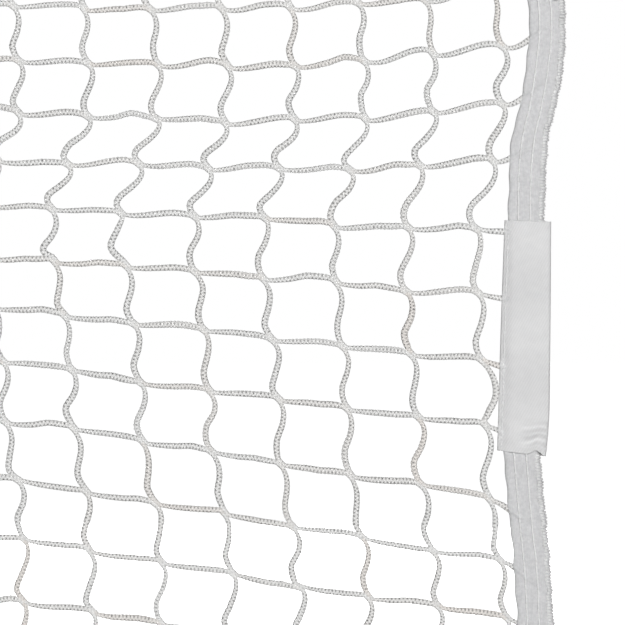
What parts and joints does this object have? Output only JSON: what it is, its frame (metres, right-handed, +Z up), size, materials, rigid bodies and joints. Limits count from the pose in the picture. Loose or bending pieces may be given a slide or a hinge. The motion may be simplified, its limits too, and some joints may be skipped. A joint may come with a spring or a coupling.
{
  "type": "portable tennis net",
  "caption": "Low portable net of knotless mesh bound in folded tape, with fabric sleeves on both side tapes, corner eyelets and a headline cord that slides in the headband.",
  "frame": {"origin": "middle of the net on its lower edge, at the centre of its depth", "axes": "+X along the net, +Z up the net, +Y from the front face to the back face"},
  "size_m": [3.184, 0.0152, 0.8123],
  "materials": {
    "netting_cord": "knotless polyester cord, off-white",
    "headband_fabric": "woven polyester band, white",
    "tape_webbing": "woven tape, white, slightly grey",
    "sleeve_fabric": "fine twill, white",
    "sewing_thread": "white thread",
    "headline_braid": "braided polyester cord, white",
    "ferrule_aluminium": "satin",
    "eyelet_brass": "polished"
  },
  "bodies": {
    "net": {"netting_rows": "netting_cord", "netting_uprights": "netting_cord", "selvedge_cord_left": "netting_cord", "selvedge_cord_right": "netting_cord", "headband": "headband_fabric", "bottom_tape": "tape_webbing", "side_tape_left": "tape_webbing", "side_tape_right": "tape_webbing", "sleeve_left_upper": "sleeve_fabric", "sleeve_left_middle": "sleeve_fabric", "sleeve_left_lower": "sleeve_fabric", "sleeve_right_upper": "sleeve_fabric", "sleeve_right_middle": "sleeve_fabric", "sleeve_right_lower": "sleeve_fabric", "eyelet_upper_left": "eyelet_brass", "eyelet_upper_right": "eyelet_brass", "eyelet_lower_left": "eyelet_brass", "eyelet_lower_right": "eyelet_brass", "washer_upper_left": "eyelet_brass", "washer_upper_right": "eyelet_brass", "washer_lower_left": "eyelet_brass", "washer_lower_right": "eyelet_brass", "headband_seams": "sewing_thread", "bottom_tape_seams": "sewing_thread", "side_tape_seams_left": "sewing_thread", "side_tape_seams_right": "sewing_thread", "sleeve_seams_left": "sewing_thread", "sleeve_seams_right": "sewing_thread", "overlock_left": "sewing_thread", "overlock_right": "sewing_thread"},
    "headline": {"headline_cord": "headline_braid", "headline_eye_left": "headline_braid", "headline_eye_right": "headline_braid", "ferrule_left": "ferrule_aluminium", "ferrule_right": "ferrule_aluminium"}
  },
  "joints": [
    {"name": "headline_slide", "type": "slide", "parent": "net", "child": "headline", "axis": [1, 0, 0], "range_m": [-0.03, 0.03]}
  ]
}
